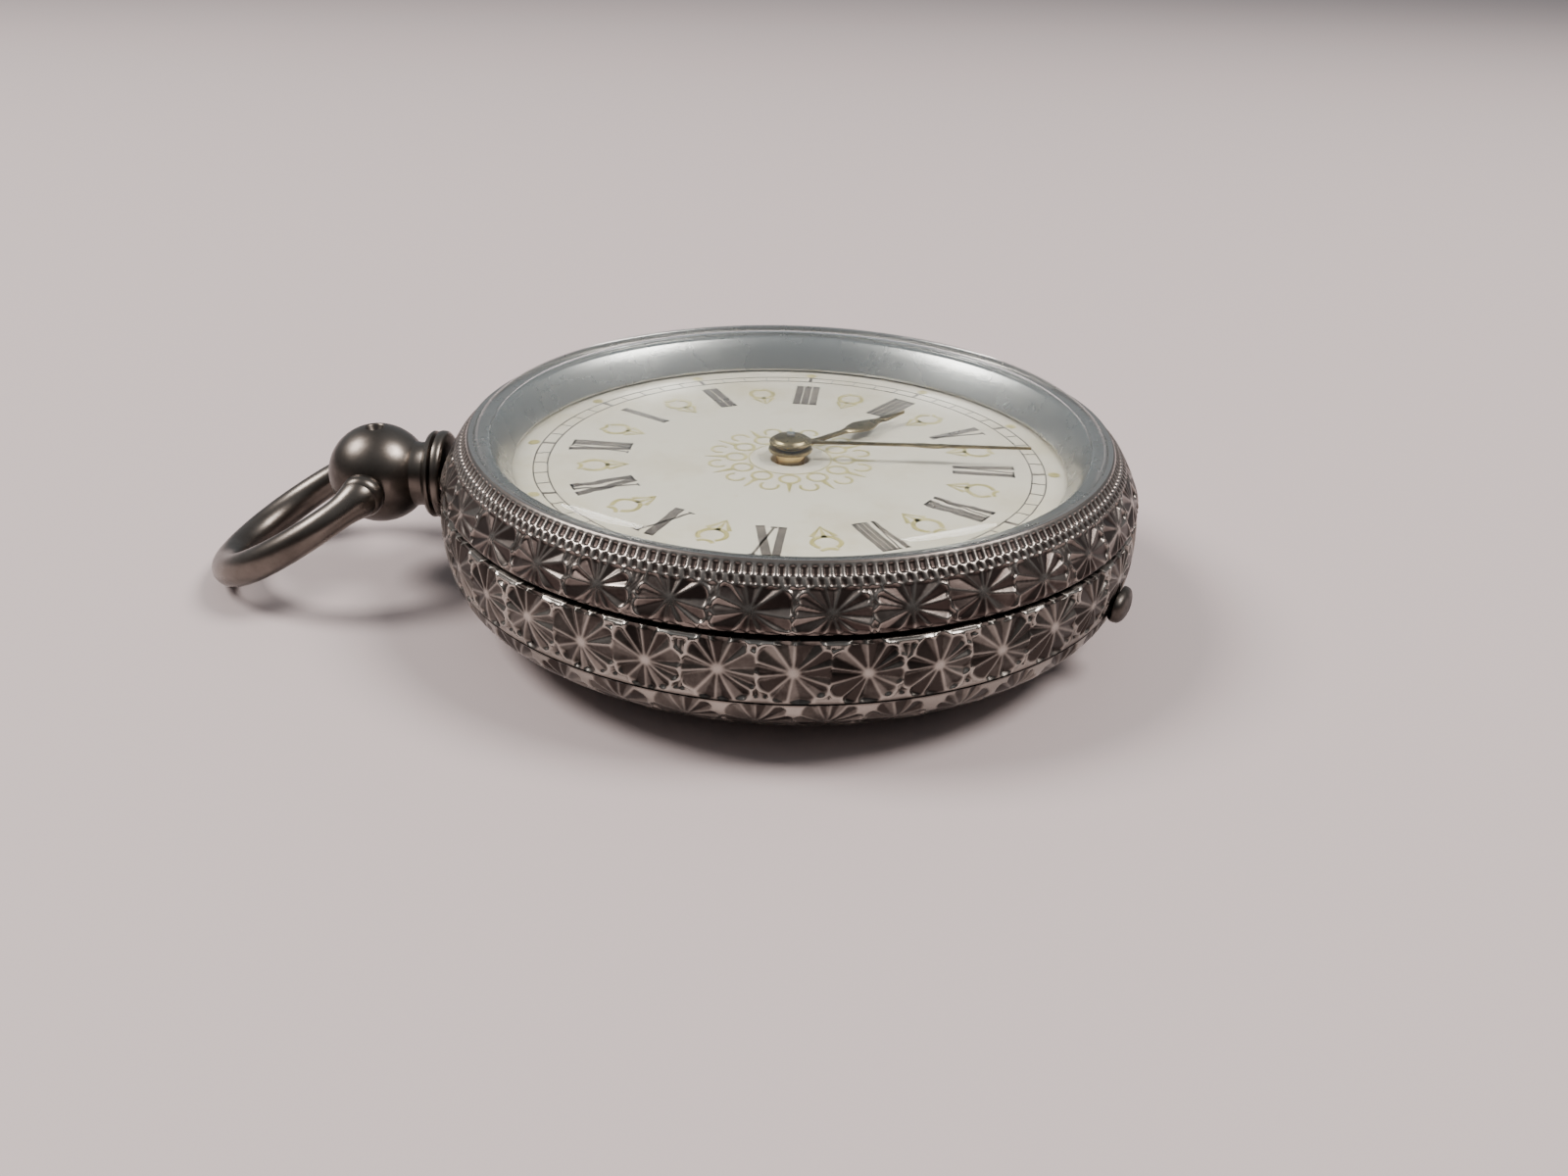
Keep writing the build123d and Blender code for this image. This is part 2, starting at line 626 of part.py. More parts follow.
minute_wheel -= disc(0.2 + running, 5, 6, stud_at)
hour_wheel = toothed(
    hour_wheel_teeth, motion_module * hour_wheel_teeth / 2, 5.65, 5.85, centre_at, stud_azimuth
)
hour_wheel += disc(0.75, 5.65, 7.2, centre_at)
hour_wheel -= disc(0.45 + running, 5, 8, centre_at)


def hand(azimuth, length, boss, low, high, root_width, tip_width, swell_at, swell_radius):
    # a slim tapered hand with an oval swelling before its tip
    points = [(0, -root_width / 2), (length, -tip_width / 2), (length, tip_width / 2), (0, root_width / 2)]
    shape = flat(points, low, high) + disc(boss, low, high)
    swelling = Pos(swell_at, 0, low) * extrude(Ellipse(1.6 * swell_radius, swell_radius), high - low)
    return Rot(0, 0, azimuth) * (shape + swelling)


hour_hand = hand(hour_hand_azimuth, 8.6, 1.05, 7.05, 7.2, 0.6, 0.14, 5.6, 0.62)
hour_hand -= disc(0.75, 7, 8)
minute_hand = hand(minute_hand_azimuth, 12.2, 0.85, 7.45, 7.6, 0.5, 0.12, 7.0, 0.36)
minute_hand -= disc(0.45, 7, 8)
hand_hub = Pos(0, 0, 7.6) * (Sphere(0.8) & Pos(0, 0, 0.21) * Box(2, 2, 0.42))
hand_hub += Pos(0, 0, 7.95) * Box(0.4, 0.4, 0.3)
hand_hub -= disc(arbor_radius, 7, 7.75)

# ---------------------------------------------------------------- dial
dial = disc(dial_radius, dial_low, dial_high)
dial = fillet(dial.edges().group_by(Axis.Z)[-1], 0.2)
dial -= disc(0.95, dial_low - 1, dial_high + 1)
dial_feet = Part()
for foot in dial_feet_at:
    dial_feet += disc(0.35, plate_low + 0.1, dial_low, foot)

# ---------------------------------------------------------------- hand in every piece
save("case_middle", case_middle)
save("middle_joint", middle_joint)
save("bezel_hinge_pin", bezel_pin)
save("back_hinge_pin", back_pin)
save("pendant_tube", pendant_tube)
save("pendant_ball", pendant_ball)
save("bow", bow)
save("bow_pins", bow_pins)
save("bezel", bezel)
save("bezel_joint", bezel_joint)
save("crystal", crystal)
save("back_cover", back_cover)
save("back_joint", back_joint)
save("back_lip", back_lip)
save("cuvette", cuvette)
save("cuvette_joint", cuvette_joint)
save("main_plate", main_plate)
save("minute_wheel_stud", minute_wheel_stud)
save("third_bridge", third_bridge)
save("fourth_bridge", fourth_bridge)
save("centre_bridge", centre_bridge)
save("barrel_bridge", barrel_bridge)
save("escape_bridge", escape_bridge)
save("balance_cock", balance_cock)
save("jewels", jewels)
save("bridge_screws", bridge_screws)
save("case_screws", case_screws)
save("barrel", barrel)
save("barrel_cover", barrel_cover)
save("mainspring", mainspring)
save("barrel_arbor", barrel_arbor)
save("ratchet_wheel", ratchet_wheel)
save("click", click)
save("click_screw", click_screw)
save("click_spring", click_spring)
save("centre_wheel", centre_wheel)
save("centre_pinion", centre_pinion)
save("third_wheel", third_wheel)
save("third_pinion", third_pinion)
save("fourth_wheel", fourth_wheel)
save("fourth_pinion", fourth_pinion)
save("escape_wheel", escape_wheel)
save("escape_pinion", escape_pinion)
save("balance_wheel", balance_wheel)
save("balance_staff", balance_staff)
save("hairspring", hairspring)
save("hairspring_stud", hairspring_stud)
save("regulator", regulator)
save("set_arbor", set_arbor)
save("cannon_pinion", cannon_pinion)
save("minute_wheel", minute_wheel)
save("hour_wheel", hour_wheel)
save("hour_hand", hour_hand)
save("minute_hand", minute_hand)
save("hand_hub", hand_hub)
save("dial", dial)
save("dial_feet", dial_feet)
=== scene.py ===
import json
import math

import bpy
import numpy as np
from mathutils import Matrix, Vector


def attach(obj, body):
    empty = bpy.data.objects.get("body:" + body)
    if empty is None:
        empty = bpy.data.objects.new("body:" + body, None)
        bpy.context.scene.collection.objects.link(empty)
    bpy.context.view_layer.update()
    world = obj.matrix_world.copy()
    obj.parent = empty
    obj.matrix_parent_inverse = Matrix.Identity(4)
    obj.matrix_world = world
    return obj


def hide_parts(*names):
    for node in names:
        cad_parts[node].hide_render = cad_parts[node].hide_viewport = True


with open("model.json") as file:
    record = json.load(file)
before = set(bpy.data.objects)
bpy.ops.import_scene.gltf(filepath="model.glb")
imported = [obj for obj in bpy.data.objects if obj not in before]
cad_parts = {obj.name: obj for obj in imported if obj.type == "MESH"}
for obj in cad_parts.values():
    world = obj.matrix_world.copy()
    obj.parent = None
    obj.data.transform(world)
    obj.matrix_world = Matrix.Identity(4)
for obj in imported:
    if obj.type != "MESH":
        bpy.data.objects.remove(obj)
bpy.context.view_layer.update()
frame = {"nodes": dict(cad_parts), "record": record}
MM = 0.001
rng = np.random.RandomState(7)

# ------------------------------------------------------------------ sizes shared with the frame (mm)
CASE_R = 17.5
HINGE_AZ = math.radians(120)
HINGE_R = 17.45
LIFT = 0.45
BALL = (-21.1, 0.0, 5.2)
BOW_DROOP = math.radians(30.8)
BALL_R = 2.53
BOW_R = 5.2
BOW_HALF_GAP = 3.0
LIP_AZ = math.radians(-28)
HOUR_HAND_AZ = math.radians(44)
MINUTE_HAND_AZ = 0.0
DIAL_TURN = math.radians(5)  # the dial's 12 stands this far clockwise of the pendant
DIAL_TOP = 6.6
TRACK_IN, TRACK_OUT = 12.2, 12.9
BEZEL_HINGE_Z = 6.0
BACK_HINGE_Z = 2.9
KNUCKLE_ROOM = 0.62  # radius cleared for a knuckle of the other piece
OWN_ROOM = 0.5  # radius cut for a piece's own knuckles


# ------------------------------------------------------------------ mesh helpers
def soften(field):
    """A light blur over a ring-shaped grid, so that cut edges don't step from row to row."""
    around = 0.25 * np.roll(field, 1, 0) + 0.5 * field + 0.25 * np.roll(field, -1, 0)
    padded = np.pad(around, ((0, 0), (1, 1)), mode="edge")
    return 0.25 * padded[:, :-2] + 0.5 * padded[:, 1:-1] + 0.25 * padded[:, 2:]


def smooth(t):
    """An even step from 0 to 1."""
    t = np.clip(t, 0, 1)
    return t * t * (3 - 2 * t)


def flat_mesh(name, verts, faces):
    mesh = bpy.data.meshes.new(name)
    mesh.from_pydata(verts, [], faces)
    mesh.validate()
    mesh.update()
    obj = bpy.data.objects.new(name, mesh)
    bpy.context.scene.collection.objects.link(obj)
    return obj


def grid_mesh(name, points, wrap_u=True, wrap_v=True, sharp=35, attribute=None, lift=LIFT):
    """A mesh from an (n, m, 3) grid of points in mm. attribute is an (n, m) array of cut patina and painted
    facet shade, kept as a point attribute for the engraved materials.
    """
    n, m = points.shape[:2]
    verts = (points.reshape(-1, 3) + (0, 0, lift)) * MM
    i = np.arange(n if wrap_u else n - 1)
    j = np.arange(m if wrap_v else m - 1)
    ii, jj = np.meshgrid(i, j, indexing="ij")
    i2 = (ii + 1) % n
    j2 = (jj + 1) % m
    quads = np.stack([ii * m + jj, i2 * m + jj, i2 * m + j2, ii * m + j2], -1).reshape(-1, 4)
    mesh = bpy.data.meshes.new(name)
    mesh.vertices.add(len(verts))
    mesh.vertices.foreach_set("co", verts.astype(np.float32).ravel())
    mesh.loops.add(quads.size)
    mesh.loops.foreach_set("vertex_index", quads.astype(np.int32).ravel())
    mesh.polygons.add(len(quads))
    mesh.polygons.foreach_set("loop_start", np.arange(0, quads.size, 4, dtype=np.int32))
    mesh.update(calc_edges=True)
    mesh.validate()
    mesh.polygons.foreach_set("use_smooth", [True] * len(mesh.polygons))
    mesh.set_sharp_from_angle(angle=math.radians(sharp))
    if attribute is not None:
        layer = mesh.attributes.new("patina_and_painted_facet_shade", "FLOAT", "POINT")
        layer.data.foreach_set("value", attribute.astype(np.float32).ravel())
    obj = bpy.data.objects.new(name, mesh)
    bpy.context.scene.collection.objects.link(obj)
    return obj


def curve_through(points, count):
    """A smooth curve through a few (r, z) points, evenly sampled."""
    p = np.array(points, float)
    d = np.r_[0, np.cumsum(np.hypot(*np.diff(p, axis=0).T))]
    full = np.vstack([2 * p[0] - p[1], p, 2 * p[-1] - p[-2]])
    out = []
    for s in np.linspace(0, d[-1], count):
        k = min(np.searchsorted(d, s, side="right") - 1, len(p) - 2)
        t = (s - d[k]) / (d[k + 1] - d[k])
        a, b, c, e = full[k], full[k + 1], full[k + 2], full[k + 3]
        out.append(
            0.5 * (2 * b + (c - a) * t + (2 * a - 5 * b + 4 * c - e) * t * t + (3 * b - a - 3 * c + e) * t**3)
        )
    return np.array(out)


def lathe(name, outline, count, closed=True, sharp=35, axis="z", lift=LIFT):
    """A surface of revolution from an (r, h) outline in mm."""
    p = np.array(outline, float)
    a = np.linspace(0, 2 * np.pi, count, endpoint=False)
    r = p[None, :, 0]
    h = np.broadcast_to(p[None, :, 1], (count, len(p)))
    x = r * np.cos(a)[:, None]
    y = r * np.sin(a)[:, None]
    if axis == "z":
        pts = np.stack([x, y, h], -1)
    else:
        pts = np.stack([-h, y, x], -1)[::-1]
    return grid_mesh(name, pts, True, closed, sharp, lift=lift)


# ------------------------------------------------------------------ materials
def material(name):
    m = bpy.data.materials.new(name)
    m.use_nodes = True
    tree = m.node_tree
    bsdf = next(n for n in tree.nodes if n.type == "BSDF_PRINCIPLED")
    return m, tree, bsdf


def object_coordinates(tree):
    return tree.nodes.new("ShaderNodeTexCoord").outputs["Object"]


def noise(tree, vector, scale, detail=4, rough=0.55):
    n = tree.nodes.new("ShaderNodeTexNoise")
    n.inputs["Scale"].default_value = scale
    n.inputs["Detail"].default_value = detail
    n.inputs["Roughness"].default_value = rough
    tree.links.new(vector, n.inputs["Vector"])
    return n.outputs["Fac"]


def ramp(tree, value, low, high, a, b):
    n = tree.nodes.new("ShaderNodeMapRange")
    n.inputs["From Min"].default_value = low
    n.inputs["From Max"].default_value = high
    n.inputs["To Min"].default_value = a
    n.inputs["To Max"].default_value = b
    tree.links.new(value, n.inputs["Value"])
    return n.outputs["Result"]


def mix_colour(tree, factor, a, b):
    n = tree.nodes.new("ShaderNodeMix")
    n.data_type = "RGBA"
    tree.links.new(factor, n.inputs["Factor"])
    sockets = [s for s in n.inputs if s.type == "RGBA"]
    for socket, value in zip(sockets, (a, b)):
        if isinstance(value, tuple):
            socket.default_value = (*value, 1)
        else:
            tree.links.new(value, socket)
    return [s for s in n.outputs if s.type == "RGBA"][0]


def maths(tree, operation, a, b):
    n = tree.nodes.new("ShaderNodeMath")
    n.operation = operation
    n.use_clamp = True
    for socket, value in zip(n.inputs, (a, b)):
        if isinstance(value, (int, float)):
            socket.default_value = value
        else:
            tree.links.new(value, socket)
    return n.outputs[0]


def bump(tree, bsdf, height, strength, distance):
    n = tree.nodes.new("ShaderNodeBump")
    n.inputs["Strength"].default_value = strength
    n.inputs["Distance"].default_value = distance
    tree.links.new(height, n.inputs["Height"])
    tree.links.new(n.outputs["Normal"], bsdf.inputs["Normal"])


def metal(name, bright, dull, rough_low, rough_high, grain, patches=260.0, bump_strength=0.15):
    """A worn metal: dull patches in a bright colour, uneven roughness and a fine grain."""
    m, tree, bsdf = material(name)
    where = object_coordinates(tree)
    cloud = noise(tree, where, patches, 5, 0.6)
    fine = noise(tree, where, grain, 3, 0.6)
    colour = mix_colour(tree, ramp(tree, cloud, 0.35, 0.68, 0, 1), bright, dull)
    tree.links.new(colour, bsdf.inputs["Base Color"])
    rough = ramp(tree, cloud, 0.3, 0.7, rough_low, rough_high)
    tree.links.new(rough, bsdf.inputs["Roughness"])
    bsdf.inputs["Metallic"].default_value = 1.0
    bump(tree, bsdf, fine, bump_strength, 0.00003)
    return m


def engraved_silver(name, land, recess, rough_land, rough_recess):
    m, tree, bsdf = material(name)
    where = object_coordinates(tree)
    # The point attribute holds patina in the cuts plus painted shade and highlight on the rosette facets; the
    # noise adds uneven wear and random darker patches.
    depth = tree.nodes.new("ShaderNodeAttribute")
    depth.attribute_name = "patina_and_painted_facet_shade"
    cloud = noise(tree, where, 420, 5, 0.65)
    patch = noise(tree, where, 90, 3, 0.5)
    fine = noise(tree, where, 5200, 3, 0.6)
    uneven = ramp(tree, cloud, 0.3, 0.7, -0.16, 0.2)
    patina_facet_shade_and_wear = maths(tree, "ADD", depth.outputs["Fac"], uneven)
    darker = maths(tree, "ADD", patina_facet_shade_and_wear, ramp(tree, patch, 0.45, 0.75, 0.0, 0.22))
    colour = mix_colour(tree, darker, land, recess)
    tree.links.new(colour, bsdf.inputs["Base Color"])
    rough = ramp(tree, darker, 0, 1, rough_land, rough_recess)
    tree.links.new(rough, bsdf.inputs["Roughness"])
    bsdf.inputs["Metallic"].default_value = 1.0
    bump(tree, bsdf, fine, 0.25, 0.00002)
    return m


def enamel_like(name, clean, stained, rough, scale=160.0):
    m, tree, bsdf = material(name)
    where = object_coordinates(tree)
    cloud = noise(tree, where, scale, 6, 0.62)
    speck = noise(tree, where, 1900, 3, 0.6)
    stain = maths(tree, "ADD", ramp(tree, cloud, 0.48, 0.78, 0, 0.8), ramp(tree, speck, 0.66, 0.8, 0, 0.35))
    colour = mix_colour(tree, stain, clean, stained)
    tree.links.new(colour, bsdf.inputs["Base Color"])
    tree.links.new(ramp(tree, cloud, 0.3, 0.7, rough, rough + 0.12), bsdf.inputs["Roughness"])
    bump(tree, bsdf, cloud, 0.08, 0.00004)
    return m


def clear_glass(name):
    m, tree, bsdf = material(name)
    bsdf.inputs["IOR"].default_value = 1.03
    bsdf.inputs["Transmission Weight"].default_value = 1.0
    bsdf.inputs["Coat IOR"].default_value = 1.45
    bsdf.inputs["Roughness"].default_value = 0.01
    where = object_coordinates(tree)
    wear = noise(tree, where, 700, 4, 0.6)
    tint = mix_colour(tree, wear, (0.93, 0.965, 0.97), (0.91, 0.945, 0.95))
    tree.links.new(tint, bsdf.inputs["Base Color"])
    bsdf.inputs["Coat Weight"].default_value = 0.45
    bsdf.inputs["Coat Roughness"].default_value = 0.03
    path = tree.nodes.new("ShaderNodeLightPath")
    clear = tree.nodes.new("ShaderNodeBsdfTransparent")
    clear.inputs["Color"].default_value = (0.96, 0.97, 0.97, 1)
    mix = tree.nodes.new("ShaderNodeMixShader")
    out = next(n for n in tree.nodes if n.type == "OUTPUT_MATERIAL")
    tree.links.new(path.outputs["Is Shadow Ray"], mix.inputs[0])
    tree.links.new(bsdf.outputs[0], mix.inputs[1])
    tree.links.new(clear.outputs[0], mix.inputs[2])
    tree.links.new(mix.outputs[0], out.inputs["Surface"])
    return m


MATS = {
    "silver": metal("silver_plain_edge", (0.62, 0.60, 0.58), (0.36, 0.33, 0.31), 0.16, 0.34, 3500),
    "silver_plain": metal("silver_polished", (0.74, 0.72, 0.69), (0.55, 0.52, 0.48), 0.12, 0.28, 3500),
    "dark_silver": metal("silver_patinated", (0.2, 0.172, 0.15), (0.075, 0.062, 0.054), 0.24, 0.38, 2600),
    "steel": metal("steel_polished", (0.66, 0.66, 0.67), (0.48, 0.48, 0.50), 0.14, 0.28, 4000),
    "spring_steel": metal("steel_spring", (0.42, 0.45, 0.50), (0.28, 0.30, 0.36), 0.2, 0.32, 4000),
    "blued_steel": metal("steel_blued", (0.05, 0.09, 0.30), (0.03, 0.04, 0.16), 0.15, 0.3, 4000),
    "brass": metal("brass_worked", (0.80, 0.60, 0.28), (0.62, 0.43, 0.18), 0.2, 0.36, 3500),
    "gilt_brass": metal(
        "brass_gilt_frosted", (0.86, 0.67, 0.34), (0.72, 0.52, 0.24), 0.34, 0.48, 6500, bump_strength=0.4
    ),
    "gilt_hands": metal(
        "gilt_hand_metal", (0.31, 0.24, 0.13), (0.12, 0.09, 0.05), 0.26, 0.42, 3500, patches=900
    ),
    "ruby": metal("jewel_red", (0.5, 0.03, 0.08), (0.35, 0.02, 0.06), 0.08, 0.15, 2000),
    "glass": clear_glass("crystal_clear"),
    "enamel": enamel_like("enamel_cream", (0.49, 0.435, 0.355), (0.37, 0.31, 0.19), 0.13),
}
PRINT = enamel_like("enamel_black", (0.075, 0.06, 0.05), (0.19, 0.155, 0.12), 0.25, 500)
GILT_PRINT = enamel_like("enamel_gilt", (0.27, 0.225, 0.08), (0.40, 0.34, 0.18), 0.3, 700)
INSIDE_MAT = metal("silver_inside", (0.53, 0.51, 0.485), (0.47, 0.45, 0.425), 0.24, 0.3, 3500)
BEZEL_MAT = engraved_silver("silver_engraved_bezel", (0.46, 0.40, 0.36), (0.055, 0.041, 0.037), 0.2, 0.38)
BAND_MAT = engraved_silver("silver_engraved_band", (0.45, 0.41, 0.37), (0.048, 0.039, 0.035), 0.22, 0.4)
LIP_MAT = metal("silver_blackened", (0.11, 0.095, 0.085), (0.03, 0.025, 0.022), 0.36, 0.55, 1800, 900, 0.5)

slots = {s["node"]: s["material_slot"] for s in frame["record"]["subparts"]}
for node, obj in frame["nodes"].items():
    obj.data.materials.clear()
    obj.data.materials.append(MATS[slots[node]])
    for polygon in obj.data.polygons:
        polygon.material_index = 0


def dress(obj, mat, body, slot, *nodes):
    """Material and body of a finished piece, and the CAD nodes that it stands for. The slot argument is not
    used.
    """
    obj.data.materials.append(mat)
    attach(obj, body)
    if nodes:
        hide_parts(*nodes)
    return obj


# ------------------------------------------------------------------ engraving
def rosettes(azimuth, height, count, centre, radius, shift, round_r):
    """One row of cut rosettes at azimuth (radians) and height along the outline (mm): the depth of
    the cuts from 0 to 1, the distance from a rosette's centre as a part of its reach, and the darkening:
    patina in the cuts, with painted shade on each petal's wide face and a painted highlight on its narrow face."""
    pitch = 2 * np.pi / count
    index = np.round(azimuth / pitch - shift).astype(int) % count
    turn = rng.uniform(0, 2 * np.pi, count)[index]
    size = radius * rng.uniform(0.94, 1.08, count)[index]
    cuts = rng.choice([10, 11, 11, 12], count)[index]
    lift = rng.normal(0, 0.07, count)[index]
    offset = (azimuth / pitch - shift - np.round(azimuth / pitch - shift)) * pitch * round_r
    up = height - centre - lift
    rho = np.hypot(offset, up)
    angle = np.arctan2(up, offset) + turn
    uneven = 0.09 * np.sin(2 * angle + index * 1.7) + 0.05 * np.sin(5 * angle + index)
    phase = (angle + uneven) * cuts / (2 * np.pi)
    petal = np.floor(phase)
    across = np.abs(phase - petal - 0.5) * 2
    reach = size * (1 - 0.13 * across**2) * (1 + 0.09 * np.sin(petal * 12.9898 + index * 4.1))
    run = np.clip(rho / reach, 0, 1)
    wall = 1 - smooth((rho - reach * 0.93) / (reach * 0.07 + 1e-6))
    turned = phase - petal
    face = np.where(turned < 0.36, turned / 0.36, (1 - turned) / 0.64)
    depth = run**0.75 * face * wall * (0.82 + 0.18 * np.sin(petal * 4.7 + index * 2.3))
    # Painted shade and highlight: the wide face of each petal keeps the full darkening and the narrow face only
    # 0.72 of it; the sine adds a random tone per petal.
    painted_facet_shade_and_tone = np.where(turned < 0.36, 0.72, 1.0) - 0.12 * np.sin(petal * 7.3 + index)
    cut_patina_and_facet_shade = painted_facet_shade_and_tone * smooth((1 - across) / (0.15 + 0.45 * (1 - run) ** 2)) * wall * smooth((run - 0.06) / 0.16)
    return depth, rho / reach, cut_patina_and_facet_shade


def small_cuts(azimuth, height, count, centre, shift, round_r, up_sign):
    """Short triangular cuts that fill the gaps between two rosettes."""
    pitch = 2 * np.pi / count
    k = azimuth / pitch - shift - 0.5
    index = np.round(k).astype(int) % count
    offset = (k - np.round(k)) * pitch * round_r
    depth = np.zeros_like(offset)
    for lean in (-0.55, 0.0, 0.55):
        v = (height - centre) * up_sign
        axis = offset - lean * v * (0.9 + 0.2 * np.sin(index * 3.7))
        width = 0.26 * np.clip(v / 0.75, 0, 1)
        inside = (v > 0.05) & (v < 0.8)
        d = np.clip(1 - np.abs(axis) / (width + 1e-4), 0, 1) * inside * (width / 0.26)
        depth = np.maximum(depth, d)
    return depth


def shell(name, outer, inner, depth_at, count, grooves, mat, body, node, scale, first_tone, last_tone):
    """A revolved case shell: outer is the engraved (r, z) run, inner closes the outline. The grooves
    clear the hinge knuckles: (height, nearest and furthest place along the pin, radius)."""
    run = np.array(outer)
    closed = np.vstack([run, np.array(inner)])
    m, total = len(run), len(closed)
    azimuth = np.linspace(0, 2 * np.pi, count, endpoint=False)[:, None]
    along = np.r_[0, np.cumsum(np.hypot(*np.diff(run, axis=0).T))]
    tangent = np.gradient(run, axis=0)
    tangent /= np.linalg.norm(tangent, axis=1)[:, None]
    normal = np.stack([tangent[:, 1], -tangent[:, 0]], -1)
    # depth_at gives the depth of the cuts and their darkening: patina in the cuts with painted shade and
    # highlight on the rosette facets.
    depth, patina_and_painted_facet_shade = depth_at(
        np.broadcast_to(azimuth, (count, m)), np.broadcast_to(run[None, :, 1], (count, m)),
        np.broadcast_to(along[None], (count, m)),
    )
    depth = soften(depth)
    patina_and_painted_facet_shade = soften(patina_and_painted_facet_shade)
    fade = smooth(np.minimum(along, along[-1] - along) / 0.12)
    r = np.broadcast_to(closed[None, :, 0], (count, total)).copy()
    z = np.broadcast_to(closed[None, :, 1], (count, total)).copy()
    r[:, :m] -= scale * depth * fade * normal[None, :, 0]
    z[:, :m] -= scale * depth * fade * normal[None, :, 1]
    tone = np.where(along < along[-1] / 2, first_tone, last_tone)
    colour = np.broadcast_to(np.linspace(last_tone, first_tone, total), (count, total)).copy()
    colour[:, :m] = patina_and_painted_facet_shade * fade + tone * (1 - fade)
    pts = np.stack([r * np.cos(azimuth), r * np.sin(azimuth), z], -1)
    across = np.array([math.cos(HINGE_AZ), math.sin(HINGE_AZ)])
    side = np.array([-math.sin(HINGE_AZ), math.cos(HINGE_AZ)])
    n_pos = pts[..., :2] @ across - HINGE_R
    t_pos = np.abs(pts[..., :2] @ side)
    for hinge_z, near, far, radius in grooves:
        dz = pts[..., 2] - hinge_z
        dist = np.hypot(n_pos, dz)
        hit = (dist < radius) & (t_pos > near) & (t_pos < far) & (pts[..., :2] @ across > 0)
        angle = np.arctan2(dz, np.minimum(n_pos, -1e-4))
        new_n = radius * np.cos(angle)
        new_z = radius * np.sin(angle)
        move = (new_n - n_pos)[..., None] * across
        pts[..., :2] = np.where(hit[..., None], pts[..., :2] + move, pts[..., :2])
        pts[..., 2] = np.where(hit, hinge_z + new_z, pts[..., 2])
        n_pos = pts[..., :2] @ across - HINGE_R
    obj = grid_mesh(name, pts, True, True, 60, colour)
    obj.data.materials.append(mat)
    obj.data.materials.append(INSIDE_MAT)
    inner_face = (np.arange(total) >= m + 1) & (np.arange(total) < total - 2)
    obj.data.polygons.foreach_set("material_index", np.tile(inner_face, count).astype(np.int32))
    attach(obj, body)
    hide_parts(node)
    return obj


ROUND = 2760  # grid columns around the case
ROW = 0.046  # grid row height along an engraved run, mm
BEZEL_R = 17.15
BEZEL_ROSETTES = 33
BAND_ROSETTES = 36
REEDS = 230
REEDED = 0.92  # width of the two rows of reeding, mm


def row_count(points):
    p = np.array(points)
    return int(np.hypot(*np.diff(p, axis=0).T).sum() / ROW)


# Bezel: rosettes below, two rows of reeding above, a bright rounded rim.
bezel_run_points = [
    (17.26, 6.12), (17.4, 6.32), (17.25, 6.75), (16.95, 7.35), (16.5, 8.05), (16.22, 8.34), (15.98, 8.6),
]
bezel_rim = [
    (15.93, 8.68), (15.86, 8.72), (15.66, 8.73), (15.6, 8.7), (15.58, 8.42), (14.93, 8.42), (14.84, 8.34),
]
bezel_inside = [
    (14.5, 7.8), (13.97, 6.87), (13.95, 6.82), (13.95, 6.72), (15.47, 6.72), (15.47, 6.12), (17.16, 6.12),
]


def bezel_depth(azimuth, z, along):
    reed_from = along.max() - REEDED
    depth, rho, groove_patina_and_facet_shade = rosettes(azimuth, along, BEZEL_ROSETTES, 1.05, 1.62, 0.31, BEZEL_R)
    fill = np.maximum(
        small_cuts(azimuth, along, BEZEL_ROSETTES, 1.25, 0.31, BEZEL_R, 1),
        small_cuts(azimuth, along, BEZEL_ROSETTES, 0.85, 0.31, BEZEL_R, -1),
    )
    free = smooth((rho - 1.03) / 0.06)
    ground = 0.3 + 0.25 * np.sin(azimuth * 700) * np.sin(along * 31)
    depth = np.maximum(depth, np.maximum(0.75 * fill, ground) * free)
    groove_patina_and_facet_shade = np.maximum(groove_patina_and_facet_shade, free * 0.7)
    below = 1 - smooth((along - reed_from + 0.08) / 0.06)
    depth = depth * below
    wave = azimuth * REEDS / (2 * np.pi)
    upper = smooth((np.cos(2 * np.pi * wave) + 0.5) / 0.7)
    lean = (along - reed_from) / 0.46
    lower = smooth((np.cos(2 * np.pi * (wave + 0.2 * lean**2 + 0.42)) + 0.35) / 0.7)
    in_lower = smooth((along - reed_from) / 0.07) * (1 - smooth((along - reed_from - 0.3) / 0.08))
    in_upper = smooth((along - reed_from - 0.4) / 0.08) * (1 - smooth((along - reed_from - 0.86) / 0.06))
    reed = np.clip(lower, 0, 1) * in_lower * 0.75 + np.clip(upper, 0, 1) * in_upper * 0.85
    # Darkening: patina in the cuts, the ground and the reeding, with the painted facet shade and highlight of
    # the rosettes.
    patina_and_painted_facet_shade = np.where(along < reed_from, 0.1 + 0.85 * groove_patina_and_facet_shade, 0.22 + 1.0 * reed)
    return np.maximum(depth, reed * 0.5), np.clip(patina_and_painted_facet_shade, 0, 1)


bezel_run = curve_through(bezel_run_points, row_count(bezel_run_points))
shell(
    "bezel_engraved", bezel_run, bezel_rim + bezel_inside, bezel_depth, ROUND,
    [(BEZEL_HINGE_Z, 0, 1.65, KNUCKLE_ROOM), (BEZEL_HINGE_Z, 1.65, 3.1, OWN_ROOM)],
    BEZEL_MAT, "bezel_body", "bezel", 0.17, 0.7, 0.0,
)

